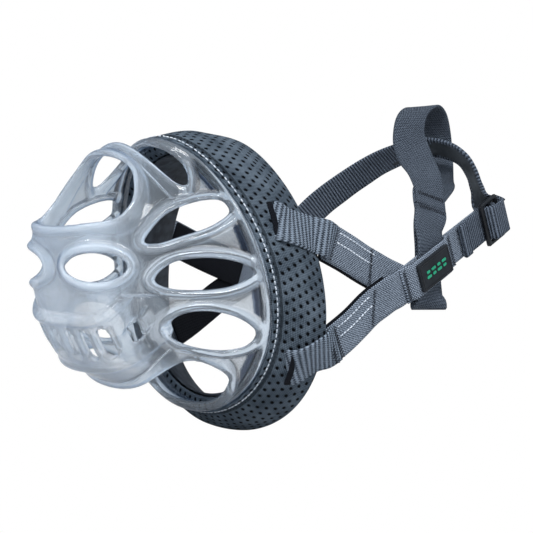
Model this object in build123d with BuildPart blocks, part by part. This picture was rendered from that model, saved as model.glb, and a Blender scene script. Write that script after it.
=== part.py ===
from build123d import *
from math import cos, pi, radians, sin
import os

# Basket muzzle: a clear moulded cage, a padded cuff and a webbing harness.
# Millimetres, +Z up, nose towards -Y, the wearer's left side towards +X.
# The origin is the centre of the cage's rear rim.

# ---------- driving dimensions ----------

# Rear rim: an egg-shaped ring that leans towards the nose at the top and is
# bowed, so that its sides sit further back than its top and bottom.
RIM_HALF_WIDTH = 54.4
RIM_HALF_HEIGHT = 66.2
RIM_EGG = -0.08
RIM_LEAN = 0.2035
RIM_BOW = 8.7

# Cage body: flat faces melted together round one centre point.
WALL = 3.0
BODY_CENTRE = Vector(0, -25, -4)
BODY_ROUNDNESS = 8
SIDE_FACES = [(71, 0, 41), (77, 38, 55.5), (74.5, -39, 49)]
MIDDLE_FACES = [(180, 84, 72.5), (0, 34, 58), (0, -14, 45), (0, -47.5, 50.5), (0, -75, 50.5)]
NOSE_Y = -73.2
BROW_PITCH = 34
CHIN_PITCH = -47.5

# Skirt, lip and cuff, measured back from the rim curve.
SKIRT_AHEAD = 3.0
LIP_DEPTH = 5.0
LIP_THICKNESS = 1.8
SKIRT_THICKNESS = 2.6
CUFF_THICKNESS = 8.2
LINING_THICKNESS = 1.2
GAP = 0.1

# Cuff sections: distance back, half width, top height, bottom height, egg.
CUFF_SECTIONS = [
    (-18, 53.0, 68.0, -60.0, -0.08),
    (0, 55.3, 70.2, -64.0, -0.09),
    (14, 58.8, 70.4, -69.2, -0.10),
    (28, 61.4, 69.0, -76.4, -0.13),
    (46, 61.8, 66.0, -80.0, -0.14),
]
CUFF_REAR_Y = 35.1
CUFF_REAR_LEAN = 0.065
CUFF_REAR_BOW = 5.6
CUFF_CENTRE_Z = -5.4
CUFF_REAR_HALF_HEIGHT = 74.0

# Webbing.
WEB_WIDTH = 19.0
WEB_THICKNESS = 1.6
TACK_THICKNESS = 0.5
TACK_DEPTH = 3.0

# Slider buckle, in its own frame: U along the strap, W along the bars, N outward.
SLIDER_CENTRE = Vector(54, 186.5, 27)
SLIDER_U = Vector(-0.08, 0.92, 0.38).normalized()
SLIDER_W = Vector(0, -0.382, 0.924)
SLIDER_LENGTH = 18.0
SLIDER_WIDTH = 25.0
SLIDER_THICKNESS = 2.6
BAR_WIDTH = 3.0
WINDOW_WIDTH = 20.4
TAIL_LENGTH = 20.0

OUTLINE_POINTS = 24
FAR = 120.0

os.makedirs("parts", exist_ok=True)


# ---------- cage surface ----------

def face_normal(yaw, pitch, side=1):
    """Unit normal of a body face: yaw turns it from the nose to the side."""
    flat = cos(radians(pitch))
    return Vector(side * flat * sin(radians(yaw)), -flat * cos(radians(yaw)), sin(radians(pitch)))


def body_fill(point, wall):
    """Below 1 inside the cage body shrunk by the wall, above 1 outside it."""
    offset = point - BODY_CENTRE
    total = 0.0
    for yaw, pitch, reach in SIDE_FACES:
        for side in (1, -1):
            share = max(0.0, offset.dot(face_normal(yaw, pitch, side))) / (reach - wall)
            total += share ** BODY_ROUNDNESS
    for yaw, pitch, reach in MIDDLE_FACES:
        share = max(0.0, offset.dot(face_normal(yaw, pitch))) / (reach - wall)
        total += share ** BODY_ROUNDNESS
    return total


def body_outline(y, wall):
    """Points of the cage body's outline in the plane at y, as (x, z)."""
    centre_z = -2 - 0.2 * y
    points = []
    for step in range(OUTLINE_POINTS):
        angle = 2 * pi * step / OUTLINE_POINTS
        low, high = 0.0, FAR
        for _ in range(40):
            reach = (low + high) / 2
            x, z = reach * sin(angle), centre_z + reach * cos(angle)
            if body_fill(Vector(x, y, z), wall) < 1:
                low = reach
            else:
                high = reach
        points.append((low * sin(angle), centre_z + low * cos(angle)))
    return points


def cross_plane(y):
    """Plane across the muzzle at y, local X = X and local Y = Z."""
    return Plane(origin=(0, y, 0), x_dir=(1, 0, 0), z_dir=(0, -1, 0))


def body_solid(wall, nose_y):
    """Cage body as one loft from just behind the rim to the nose."""
    stations = [26, 8, -10, -27, -42, -54, -63, nose_y + 4.2, nose_y + 1.3, nose_y]
    with BuildPart() as body:
        for y in stations:
            with BuildSketch(cross_plane(y)):
                with BuildLine():
                    Spline(*body_outline(y, wall), periodic=True)
                make_face()
        loft()
    return body.part


# ---------- rim and cuff ----------

def rim_y(z):
    """How far back the rim lies at height z."""
    return -z * RIM_LEAN + RIM_BOW * (1 - (z / RIM_HALF_HEIGHT) ** 2)


def cuff_rear_y(z):
    """How far back the cuff's rear edge lies at height z."""
    rise = z - CUFF_CENTRE_Z
    return CUFF_REAR_Y - rise * CUFF_REAR_LEAN + CUFF_REAR_BOW * (1 - (rise / CUFF_REAR_HALF_HEIGHT) ** 2)


def slab(edge_y, shift, towards):
    """Everything on one side of a curve edge_y(z), shifted back, as a thick slab."""
    heights = [-96 + 24 * step for step in range(9)]
    curve = [(edge_y(z) + shift, z) for z in heights]
    with BuildPart() as block:
        with BuildSketch(Plane.YZ):
            with BuildLine():
                Spline(*curve)
                Polyline(curve[-1], (towards * FAR, heights[-1]), (towards * FAR, heights[0]), curve[0])
            make_face()
        extrude(amount=FAR, both=True)
    return block.part


def oval_points(half_width, top, bottom, egg):
    """Egg-shaped closed outline: egg below zero widens its lower half."""
    centre = (top + bottom) / 2
    half_height = (top - bottom) / 2
    points = []
    for step in range(16):
        angle = 2 * pi * step / 16
        x = half_width * sin(angle) * (1 + egg * cos(angle))
        points.append((x, centre + half_height * cos(angle)))
    return points


def rim_band(inner_grow, outer_grow, start, end):
    """Ring that follows the rim curve between two distances behind it."""
    with BuildPart() as band:
        for grow, mode in ((outer_grow, Mode.ADD), (inner_grow, Mode.SUBTRACT)):
            with BuildSketch(cross_plane(50)):
                with BuildLine():
                    height = RIM_HALF_HEIGHT + grow
                    Spline(*oval_points(RIM_HALF_WIDTH + grow, height, -height, RIM_EGG), periodic=True)
                make_face()
            extrude(amount=100, mode=mode)
        add(slab(rim_y, start, -1), mode=Mode.SUBTRACT)
        add(slab(rim_y, end, 1), mode=Mode.SUBTRACT)
    return band.part


def cuff_loft(shrink):
    """Tapered body of the cuff, with its outline moved in by shrink."""
    with BuildPart() as body:
        for y, half_width, top, bottom, egg in CUFF_SECTIONS:
            with BuildSketch(cross_plane(y)):
                with BuildLine():
                    outline = oval_points(half_width - shrink, top - shrink, bottom + shrink, egg)
                    Spline(*outline, periodic=True)
                make_face()
        loft()
    return body.part


def cuff_layer(outer_shrink, inner_shrink):
    """One layer of the cuff, from behind the lip to the rear edge."""
    with BuildPart() as layer:
        add(cuff_loft(outer_shrink))
        add(cuff_loft(inner_shrink), mode=Mode.SUBTRACT)
        add(slab(rim_y, LIP_DEPTH + GAP, -1), mode=Mode.SUBTRACT)
        add(slab(cuff_rear_y, 0, 1), mode=Mode.SUBTRACT)
    return layer.part


def cuff_side_x(y, z):
    """Half width of the cuff's outer face at a point on its side."""
    for near, far in zip(CUFF_SECTIONS, CUFF_SECTIONS[1:]):
        if y <= far[0]:
            share = (y - near[0]) / (far[0] - near[0])
            half_width, top, bottom, egg = (a + (b - a) * share for a, b in zip(near[1:], far[1:]))
            lift = (z - (top + bottom) / 2) / ((top - bottom) / 2)
            return half_width * (1 - lift ** 2) ** 0.5 * (1 + egg * lift)
    return CUFF_SECTIONS[-1][1]


# ---------- webbing ----------

def mirror_x(points):
    """The same points on the other side of the muzzle."""
    return [(-x, y, z) for x, y, z in points]


def ribbon(path, across, width=WEB_WIDTH, thickness=WEB_THICKNESS):
    """Flat strip through the path points, its width turned along the across vectors."""
    with BuildLine(mode=Mode.PRIVATE) as guide:
        Spline(*path)
    curve = guide.wires()[0]
    with BuildPart() as strip:
        for place, wide in zip(path, across):
            along = curve.tangent_at(curve.param_at_point(Vector(place)))
            wide = Vector(wide)
            wide = (wide - along * wide.dot(along)).normalized()
            with BuildSketch(Plane(origin=place, x_dir=wide, z_dir=along)):
                Rectangle(width, thickness)
        loft()
    return strip.part


def strip_corners(curve, path, across, share):
    """Four corners of a strip's cross-section at a share of its curve."""
    knots = [curve.param_at_point(Vector(place)) for place in path]
    span = 0
    while span < len(knots) - 2 and knots[span + 1] < share:
        span += 1
    blend = (share - knots[span]) / (knots[span + 1] - knots[span])
    wide = Vector(across[span]) * (1 - blend) + Vector(across[span + 1]) * blend
    along = curve.tangent_at(share)
    wide = (wide - along * wide.dot(along)).normalized() * (WEB_WIDTH / 2)
    out = along.cross(wide).normalized() * (WEB_THICKNESS / 2)
    place = curve.position_at(share)
    return [place + wide + out, place - wide + out, place - wide - out, place + wide - out]


def flat_face(*corners):
    """Flat face through its corners."""
    return Face(Wire.make_polygon(list(corners), close=True))


def faceted_ribbon(path, across, steps):
    """Strip that turns or twists a long way, built from small flat faces."""
    with BuildLine(mode=Mode.PRIVATE) as guide:
        Spline(*path)
    curve = guide.wires()[0]
    sections = [strip_corners(curve, path, across, step / steps) for step in range(steps + 1)]
    faces = [flat_face(*sections[0]), flat_face(*sections[-1])]
    for near, far in zip(sections, sections[1:]):
        for corner in range(4):
            after = (corner + 1) % 4
            faces.append(flat_face(near[corner], near[after], far[corner]))
            faces.append(flat_face(near[after], far[after], far[corner]))
    return Part(Solid(Shell(faces)).wrapped)


def tack(centre, across, outward):
    """Bar-tack: a thin stitched block standing on the webbing's outer face."""
    lift = WEB_THICKNESS / 2 + TACK_THICKNESS / 2 + 2 * GAP
    place = Vector(centre) + Vector(outward).normalized() * lift
    with BuildPart() as block:
        with BuildSketch(Plane(origin=place, x_dir=across, z_dir=outward)):
            Rectangle(WEB_WIDTH - 2, TACK_DEPTH)
        extrude(amount=TACK_THICKNESS / 2, both=True)
    return block.part


def finish(name, part):
    """Names a finished piece and writes its file."""
    part.label = name
    export_step(part, f"parts/{name}.step")


# ---------- cage ----------

# Side openings as closed outlines (y, z), cut through both sides.
UPPER_OPENING = [(-48, 19), (-37, 30.5), (-21, 36.5), (-7, 37.5), (-3.5, 32), (-15, 25), (-30, 20.5), (-41, 17.5)]
MIDDLE_OPENING = [(-44, 2), (-35, 9.5), (-18, 11.3), (-2, 8.5), (4, 2.8), (-8, -2.8), (-25, -4), (-38, -2.5)]
LOWER_OPENING = [(-38.5, -21), (-32, -14.5), (-19, -13), (-4, -16.5), (7, -24), (4, -31), (-10, -32.5), (-28, -28.5)]
# Top opening behind the hump (x, y) and nose opening in front of it (x, up the brow).
TOP_OPENING = [(0, -36), (17, -34.5), (30, -28), (32.5, -21), (23, -15.5), (0, -19)]
NOSE_OPENING = [(0, -19), (16, -17.5), (26, -12), (29, -2), (26, 9.5), (17, 20), (0, 23)]
# Opening under the jaw (x, y).
JAW_OPENING = [(0, -36), (24, -35.5), (35, -27), (38, -12), (35, 3), (22, 8), (0, 8.5)]


def both_halves(points):
    """Closes a right-hand half outline by mirroring it, end points on the middle."""
    return points + [(-x, y) for x, y in reversed(points[1:-1])]


def cut_outline(points, plane, depth, both=False):
    """Cutter with a smooth closed outline."""
    with BuildPart() as cutter:
        with BuildSketch(plane):
            with BuildLine():
                Spline(*points, periodic=True)
            make_face()
        extrude(amount=depth, both=both)
    return cutter.part


def tilted_plane(pitch, reach):
    """Plane facing the nose at a pitch, a reach out from the origin."""
    facing = face_normal(0, pitch)
    return Plane(origin=facing * reach, x_dir=(1, 0, 0), z_dir=facing)


cage_outer = body_solid(0, NOSE_Y)
cage_inner = body_solid(WALL, NOSE_Y + WALL)
skirt = rim_band(-SKIRT_THICKNESS, -GAP, -SKIRT_AHEAD, LIP_DEPTH)

with BuildPart() as cage:
    add(cage_outer)
    add(cage_inner, mode=Mode.SUBTRACT)
    add(slab(rim_y, -1, 1), mode=Mode.SUBTRACT)
    for opening in (UPPER_OPENING, MIDDLE_OPENING, LOWER_OPENING):
        add(cut_outline(opening, Plane.YZ, FAR, both=True), mode=Mode.SUBTRACT)
    add(cut_outline(both_halves(TOP_OPENING), Plane.XY.offset(38), 60), mode=Mode.SUBTRACT)
    add(cut_outline(both_halves(NOSE_OPENING), tilted_plane(BROW_PITCH, 50), 60), mode=Mode.SUBTRACT)
    add(cut_outline(both_halves(JAW_OPENING), Plane.XY.offset(-34), -60), mode=Mode.SUBTRACT)
    # Front oval each side, cut square to the corner between nose and cheek.
    for side in (1, -1):
        corner = Vector(side, -1, 0).normalized()
        with BuildSketch(Plane(origin=corner * 42, x_dir=(1, side, 0), z_dir=corner)):
            with Locations((-side * 31.5, 7.5)):
                Ellipse(14.7, 7)
        extrude(amount=60, mode=Mode.SUBTRACT)
    # Chin slots side by side on the sloping chin, small ones at the ends.
    with BuildSketch(tilted_plane(CHIN_PITCH, 40)):
        with Locations(*[(11 * step, 26) for step in range(-2, 3)]):
            RectangleRounded(8, 15, 3)
        with Locations((31, 23), (-31, 23)):
            RectangleRounded(4.5, 9, 2)
    extrude(amount=40, mode=Mode.SUBTRACT)
    add(skirt)
finish("basket", cage.part)

# ---------- lip, cuff and lining ----------

finish("rim_lip", rim_band(0, LIP_THICKNESS, 0, LIP_DEPTH))

# Tab paths: out of a slit behind the lip, over the cuff and clear of its rear edge.
TAB_STAND = 1.0
UPPER_TAB_YZ = [(11, 28), (20, 25.6), (30, 23), (38, 20.8)]
LOWER_TAB_YZ = [(20, -42), (28, -39.5), (36, -37), (42, -35.2)]
UPPER_TAB = [(cuff_side_x(y, z) + TAB_STAND, y, z) for y, z in UPPER_TAB_YZ] + [(57.4, 47, 17.8)]
LOWER_TAB = [(cuff_side_x(y, z) + TAB_STAND, y, z) for y, z in LOWER_TAB_YZ] + [(58.2, 50.5, -32.4)]
UPPER_TAB_ACROSS = [(-0.45, 0, 0.9), (-0.42, 0.1, 0.9), (-0.38, 0.2, 0.9), (-0.3, 0.25, 0.9), (0, 0.35, 0.93)]
LOWER_TAB_ACROSS = [(0.48, -0.1, 0.88), (0.45, -0.2, 0.9), (0.4, -0.3, 0.9), (0.3, -0.35, 0.9), (0, -0.4, 0.91)]

with BuildPart() as cuff:
    add(cuff_layer(0, CUFF_THICKNESS))
    for path, across in ((UPPER_TAB, UPPER_TAB_ACROSS), (LOWER_TAB, LOWER_TAB_ACROSS)):
        for mirrored in (False, True):
            route = mirror_x(path) if mirrored else path
            wide = mirror_x(across) if mirrored else across
            seat = ribbon(route, wide, WEB_WIDTH + 2 * GAP, WEB_THICKNESS + 4 * GAP)
            add(seat, mode=Mode.SUBTRACT)
finish("pad_cuff", cuff.part)
finish("pad_lining", cuff_layer(CUFF_THICKNESS + GAP, CUFF_THICKNESS + GAP + LINING_THICKNESS))

# ---------- tabs and V arms ----------

# Each arm starts just behind its tab, and the two arms of a side meet in a V.
HINGE_Y = 98.0
HINGE_Z = -8.0
UPPER_ARM = [(57.4, 48, 17.4), (57.2, 60, 12.5), (56, 72, 7.5), (55, 83, 3.2), (54.9, 94, -0.6)]
LOWER_ARM = [(58.2, 51.5, -32), (57.8, 64, -26), (57.2, 79, -17.2), (56.9, 94, -10.2)]
UPPER_ARM_ACROSS = [(0, 0.37, 0.93)] * 5
LOWER_ARM_ACROSS = [(0, -0.42, 0.91)] * 4

for side_name, flip in (("left", False), ("right", True)):
    def placed(points, flip=flip):
        return mirror_x(points) if flip else points

    finish(f"upper_tab_{side_name}", ribbon(placed(UPPER_TAB), placed(UPPER_TAB_ACROSS)))
    finish(f"lower_tab_{side_name}", ribbon(placed(LOWER_TAB), placed(LOWER_TAB_ACROSS)))
    finish(f"upper_arm_{side_name}", ribbon(placed(UPPER_ARM), placed(UPPER_ARM_ACROSS)))
    finish(f"lower_arm_{side_name}", ribbon(placed(LOWER_ARM), placed(LOWER_ARM_ACROSS)))
    outward = placed([(1, 0, 0)])[0]
    upper_tacks = [
        tack(placed([UPPER_ARM[0]])[0] + Vector(0, 2.5, -1), (0, 0.37, 0.93), outward),
    ]
    lower_tacks = [
        tack(placed([LOWER_ARM[0]])[0] + Vector(0, 2.5, 1.2), (0, -0.42, 0.91), outward),
        tack(placed([LOWER_ARM[2]])[0], (0, -0.42, 0.91), outward),
    ]
    finish(f"arm_tacks_{side_name}", Compound(children=upper_tacks + lower_tacks))

# ---------- neck straps ----------

# The straps run on from the lower arms, clear of the hinge line across the V joins.
SLIDER_N = SLIDER_U.cross(SLIDER_W).normalized()
STRAP_DROP = 4.2
TAIL_DROP = 2.3
NEAR_STRAP_START = -91.5
FAR_STEPS = 80
RING_STEPS = 72


def slider_point(along, out):
    """Point at a distance along the strap and outward from the slider's centre."""
    place = SLIDER_CENTRE + SLIDER_U * along + SLIDER_N * out
    return (place.X, place.Y, place.Z)


FAR_STRAP = [
    (-56.8, 101.6, -7.2), (-54.5, 113, 2.5), (-48, 128, 17), (-39, 142, 34), (-27, 154.5, 47.5), (-10, 165, 60),
    (8, 171.5, 67), (19, 176.5, 68.5), (30, 181, 66), (38, 184, 61), (42.3, 187, 54), (45, 191, 45.5), (47.8, 195.3, 38),
    slider_point(14.6, -TAIL_DROP),
]
FAR_STRAP_ACROSS = [
    (0, -0.4, 0.92), (0, -0.5, 0.87), (0.02, -0.58, 0.81), (0.03, -0.68, 0.73), (0.06, -0.75, 0.66),
    (0.1, -0.83, 0.55), (0.2, -0.84, 0.5), (0.36, -0.75, 0.56), (0.47, -0.7, 0.54), (0.6, -0.6, 0.5),
    (0.68, -0.5, 0.52), (0.6, -0.45, 0.66), (0.3, -0.4, 0.86), (0, -0.382, 0.924),
]
near_route = [slider_point(along, -STRAP_DROP) for along in (NEAR_STRAP_START, NEAR_STRAP_START / 2, -10)]
finish("neck_strap_left", ribbon(near_route, [tuple(SLIDER_W)] * 3))
finish("neck_strap_right", faceted_ribbon(FAR_STRAP, FAR_STRAP_ACROSS, FAR_STEPS))

# ---------- keeper and label ----------

# The keeper is a second ply that bridges over the collar loop and carries the label.
KEEPER_AT = -65.3
KEEPER_REACH = 24.0
KEEPER_FLAT = 17.5
KEEPER_STAND = 4.2
KEEPER_END_STAND = 1.8
LABEL_LENGTH = 30.0
LABEL_HEIGHT = 15.5
LABEL_THICKNESS = 1.8
MOTIF_LENGTH = 22.0
MOTIF_HEIGHT = 3.0
MOTIF_THICKNESS = 0.6


def strap_plane(along, out):
    """Plane on the near strap's outer side, local X along the strap, facing out."""
    return Plane(origin=slider_point(along, out - STRAP_DROP), x_dir=SLIDER_U, z_dir=SLIDER_N)


def side_strip(origin_along, corners, bend):
    """Webbing drawn from the side as a bent line and extruded to its width."""
    side = Plane(origin=slider_point(origin_along, 0), x_dir=SLIDER_U, z_dir=-SLIDER_W)
    with BuildPart() as strip:
        with BuildSketch(side):
            with BuildLine():
                FilletPolyline(*corners, radius=bend)
            trace(line_width=WEB_THICKNESS)
        extrude(amount=WEB_WIDTH / 2, both=True)
    return strip.part


keeper_end = KEEPER_END_STAND - STRAP_DROP
keeper_top = KEEPER_STAND - STRAP_DROP
keeper_half = [(KEEPER_REACH, keeper_end), (KEEPER_FLAT + 3.5, keeper_end), (KEEPER_FLAT, keeper_top)]
keeper_line = [(-along, out) for along, out in keeper_half] + keeper_half[::-1]
finish("strap_keeper", side_strip(KEEPER_AT, keeper_line, 1.2))

LABEL_STAND = KEEPER_STAND + WEB_THICKNESS / 2 + GAP
with BuildPart() as label:
    with BuildSketch(strap_plane(KEEPER_AT, LABEL_STAND)):
        RectangleRounded(LABEL_LENGTH, LABEL_HEIGHT, 1.5)
    extrude(amount=LABEL_THICKNESS)
    fillet(label.faces().sort_by(Axis.X)[-1].edges(), 0.5)
finish("label_patch", label.part)

with BuildPart() as motif:
    with BuildSketch(strap_plane(KEEPER_AT, LABEL_STAND + LABEL_THICKNESS + GAP)):
        SlotOverall(MOTIF_LENGTH, MOTIF_HEIGHT)
    extrude(amount=MOTIF_THICKNESS)
finish("label_motif", motif.part)

keeper_tacks = []
for reach in (-KEEPER_REACH + TACK_DEPTH / 2, KEEPER_REACH - TACK_DEPTH / 2):
    place = slider_point(KEEPER_AT + reach, keeper_end)
    keeper_tacks.append(tack(place, SLIDER_W, SLIDER_N))
finish("keeper_tacks", Compound(children=keeper_tacks))

# ---------- slider, the webbing round its bars and the tail ----------

BAR_PITCH = (SLIDER_LENGTH - BAR_WIDTH) / 2
with BuildPart() as slider:
    with BuildSketch(strap_plane(0, STRAP_DROP)):
        RectangleRounded(SLIDER_LENGTH, SLIDER_WIDTH, 2.5)
        with Locations((BAR_PITCH / 2, 0), (-BAR_PITCH / 2, 0)):
            Rectangle(BAR_PITCH - BAR_WIDTH, WINDOW_WIDTH, mode=Mode.SUBTRACT)
    extrude(amount=SLIDER_THICKNESS / 2, both=True)
finish("slider", slider.part)

# The near strap ends in a loop round the centre bar. The far strap passes over the
# rear and centre bars and under the front bar, where it leaves as the tail.
END_LOOP = [(-2.95, -3), (-2.95, 2.95), (2.95, 2.95), (2.95, -STRAP_DROP), (-9.3, -STRAP_DROP)]
TURNBACK = [(10.8, -3.2), (10.8, 4.8), (-4.9, 4.8), (-4.9, -TAIL_DROP), (-10.2, -TAIL_DROP)]
finish("strap_end_loop", side_strip(0, END_LOOP, 1.2))
finish("strap_turnback", side_strip(0, TURNBACK, 1.2))

TAIL_START = -10.8
tail_route = [slider_point(TAIL_START - share * TAIL_LENGTH, -TAIL_DROP) for share in (0, 0.5, 1)]
finish("strap_tail", ribbon(tail_route, [tuple(SLIDER_W)] * 3))

# ---------- collar loop ----------

# Two webbing rings, one round each neck strap, sewn together where their ends meet.
SPLICE = Vector(46, 140, 38.4)
SPLICE_ALONG = Vector(-0.51, 0.46, 0.73).normalized()
SPLICE_ACROSS = Vector(0.62, 0.78, -0.06).normalized()
SPLICE_OUT = SPLICE_ACROSS.cross(SPLICE_ALONG).normalized()
PLY_OFFSET = 0.95


def splice_point(along, out):
    """Point next to the splice of the two rings."""
    place = SPLICE + SPLICE_ALONG * along + SPLICE_OUT * out
    return (place.X, place.Y, place.Z)


LOWER_RING = [
    splice_point(-2, PLY_OFFSET), splice_point(-6, PLY_OFFSET), (51.6, 131, 29), (55.2, 127.8, 21.5),
    (56.55, 126.4, 15), (57, 126.2, 2), (57.35, 126.2, -11), (56.1, 126.3, -15.6), (54, 126.4, -17),
    (52, 126.4, -15.6), (51, 126.5, -11), (50.8, 126.6, 2), (50.2, 127.2, 13), (48.3, 131, 26),
    splice_point(-6, -PLY_OFFSET), splice_point(-2, -PLY_OFFSET),
]
LOWER_RING_ACROSS = [(0.62, 0.78, -0.06)] * 2 + [(0.3, 0.95, 0), (0.05, 1, 0)] + [(-0.08, 1, 0)] * 8
LOWER_RING_ACROSS += [(0, 1, 0), (0.3, 0.95, 0)] + [(0.62, 0.78, -0.06)] * 2
UPPER_RING = [
    splice_point(2, PLY_OFFSET), splice_point(6, PLY_OFFSET), (33, 149, 53), (21, 153, 62), (12, 156.5, 74), (10, 163, 87), (10, 174, 92),
    (9.5, 185, 89), (8.5, 192, 76), (11, 191, 62), (21, 178, 50), (32, 163, 46),
    splice_point(6, -PLY_OFFSET), splice_point(2, -PLY_OFFSET),
]
UPPER_RING_ACROSS = [(0.62, 0.78, -0.06)] * 2 + [(0.75, 0.6, 0), (0.9, 0.35, 0.1)] + [(0.98, 0.15, 0.1)] * 6
UPPER_RING_ACROSS += [(0.9, 0.35, 0.1), (0.75, 0.6, 0)] + [(0.62, 0.78, -0.06)] * 2
finish("collar_loop_lower", faceted_ribbon(LOWER_RING, LOWER_RING_ACROSS, RING_STEPS))
finish("collar_loop_upper", faceted_ribbon(UPPER_RING, UPPER_RING_ACROSS, RING_STEPS))

loop_tacks = []
for along in (-4, 4):
    loop_tacks.append(tack(splice_point(along, PLY_OFFSET + 7 * GAP), SPLICE_ACROSS, SPLICE_OUT))
finish("loop_tacks", Compound(children=loop_tacks))
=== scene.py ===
import random
from math import acos, cos, pi, radians, sin, sqrt

import bmesh
import bpy
import numpy as np
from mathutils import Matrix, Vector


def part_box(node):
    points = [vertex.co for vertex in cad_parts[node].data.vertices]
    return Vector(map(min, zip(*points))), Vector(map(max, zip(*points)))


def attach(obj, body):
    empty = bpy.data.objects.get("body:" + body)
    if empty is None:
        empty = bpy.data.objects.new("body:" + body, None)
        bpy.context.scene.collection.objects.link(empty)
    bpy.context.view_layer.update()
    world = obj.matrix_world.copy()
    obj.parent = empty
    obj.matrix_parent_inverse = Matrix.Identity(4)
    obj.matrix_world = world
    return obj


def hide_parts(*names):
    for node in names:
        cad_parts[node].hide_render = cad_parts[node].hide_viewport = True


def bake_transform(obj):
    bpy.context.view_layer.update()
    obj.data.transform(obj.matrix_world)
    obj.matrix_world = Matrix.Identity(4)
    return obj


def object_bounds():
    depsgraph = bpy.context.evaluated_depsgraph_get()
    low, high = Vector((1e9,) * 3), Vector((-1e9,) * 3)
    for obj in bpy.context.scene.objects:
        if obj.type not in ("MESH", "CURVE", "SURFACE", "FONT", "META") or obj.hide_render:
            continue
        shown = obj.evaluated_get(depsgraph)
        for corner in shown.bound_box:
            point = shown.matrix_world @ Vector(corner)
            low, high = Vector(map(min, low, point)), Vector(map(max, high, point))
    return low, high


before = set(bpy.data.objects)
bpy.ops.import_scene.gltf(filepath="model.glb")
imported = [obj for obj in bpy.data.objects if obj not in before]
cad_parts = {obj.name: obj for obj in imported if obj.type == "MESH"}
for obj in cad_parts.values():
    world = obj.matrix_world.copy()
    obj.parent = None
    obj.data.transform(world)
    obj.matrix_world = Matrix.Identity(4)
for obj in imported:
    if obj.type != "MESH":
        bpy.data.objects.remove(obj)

import openvdb
from mathutils import Vector

# Looks of a clear basket muzzle: moulded cage, mesh cuff and webbing harness.
# Shapes are worked out in millimetres and written in metres, nose towards -Y.

MM = 0.001
TURN = 2 * pi
WEBBING_WIDTH, WEBBING_THICKNESS = 19.0, 1.6
random.seed(7)
size_box = [list(corner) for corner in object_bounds()]


# ---------- meshes ----------

def add_mesh(name, points, faces, material, smooth=True, uvs=None):
    """New mesh object from points in millimetres; uvs are one pair per point."""
    mesh = bpy.data.meshes.new(name)
    mesh.from_pydata([tuple(float(v) * MM for v in p) for p in points], [], faces)
    shell = bmesh.new()
    shell.from_mesh(mesh)
    bmesh.ops.recalc_face_normals(shell, faces=shell.faces)
    shell.to_mesh(mesh)
    shell.free()
    if uvs is not None:
        layer = mesh.uv_layers.new(name="UVMap")
        for loop in mesh.loops:
            layer.data[loop.index].uv = uvs[loop.vertex_index]
    mesh.polygons.foreach_set("use_smooth", [smooth] * len(mesh.polygons))
    mesh.materials.append(material)
    mesh.update()
    made = bpy.data.objects.new(name, mesh)
    bpy.context.scene.collection.objects.link(made)
    return made


SPLINE_STEPS = 24


def spline(points, count, closed=False):
    """Catmull-Rom curve through the points, evenly spaced in its first three coordinates."""
    p = np.array(points, float)
    if closed:
        p = np.vstack([p[-1:], p, p[:2]])
    else:
        p = np.vstack([2 * p[0] - p[1], p, 2 * p[-1] - p[-2]])
    fine = []
    for k in range(1, len(p) - 2):
        for t in np.linspace(0, 1, SPLINE_STEPS, endpoint=False):
            a, b, c, d = p[k - 1], p[k], p[k + 1], p[k + 2]
            fine.append(0.5 * (2 * b + (c - a) * t + (2 * a - 5 * b + 4 * c - d) * t ** 2
                               + (3 * b - a - 3 * c + d) * t ** 3))
    fine.append(p[-2])
    fine = np.array(fine)
    reach = np.concatenate([[0], np.cumsum(np.linalg.norm(np.diff(fine, axis=0)[:, :3], axis=1))])
    at = np.linspace(0, reach[-1], count, endpoint=not closed)
    return np.stack([np.interp(at, reach, fine[:, k]) for k in range(fine.shape[1])], 1)


def unit(vector):
    """Vectors scaled to length one."""
    vector = np.asarray(vector, float)
    return vector / np.maximum(np.linalg.norm(vector, axis=-1, keepdims=True), 1e-9)


def strap_frames(path, across, count):
    """Points, directions, width directions and normals along a strap."""
    both = spline(np.hstack([np.array(path, float), np.array(across, float)]), count)
    centre, wide = both[:, :3], both[:, 3:]
    along = unit(np.gradient(centre, axis=0))
    wide = unit(wide - along * np.sum(wide * along, 1)[:, None])
    return centre, along, wide, np.cross(along, wide)


FLAT_POINTS = 9
STRAP_SIDES = 2 * FLAT_POINTS + 2
STRAP_EDGE = 0.5
RIPPLE_ALONG, RIPPLE_ACROSS = 0.35, 0.25


def strip_section(width, thickness):
    """Closed outline of a webbing's cross-section as (across, out) pairs."""
    half, thick = width / 2, thickness / 2
    flat = np.linspace(-half + STRAP_EDGE, half - STRAP_EDGE, FLAT_POINTS)
    top = [(a, thick) for a in flat]
    bottom = [(a, -thick) for a in -flat]
    return [(-half, 0)] + top + [(half, 0)] + bottom


def strap(name, path, across, material, width=WEBBING_WIDTH, thickness=WEBBING_THICKNESS,
          step=1.6, wave=0.12):
    """Webbing swept along a path, a ring of points every step, with a slight waviness."""
    length = np.sum(np.linalg.norm(np.diff(np.array(path, float), axis=0), axis=1))
    count = max(8, int(length / step))
    centre, along, wide, out = strap_frames(path, across, count)
    section = strip_section(width, thickness)
    reach = np.concatenate([[0], np.cumsum(np.linalg.norm(np.diff(centre, axis=0), axis=1))])
    points, uvs, faces = [], [], []
    phase = random.uniform(0, 6)
    for k in range(count):
        for a, b in section:
            ripple = wave * sin(reach[k] * RIPPLE_ALONG + phase) * sin(a * RIPPLE_ACROSS + phase)
            points.append(centre[k] + wide[k] * a + out[k] * (b + ripple))
            uvs.append((reach[k], a))
    ring = len(section)
    for k in range(count - 1):
        for j in range(ring):
            a, b = k * ring + j, k * ring + (j + 1) % ring
            faces.append((a, b, b + ring, a + ring))
    faces.append(tuple(range(ring))[::-1])
    faces.append(tuple((count - 1) * ring + j for j in range(ring)))
    return add_mesh(name, points, faces, material, uvs=uvs)


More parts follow.
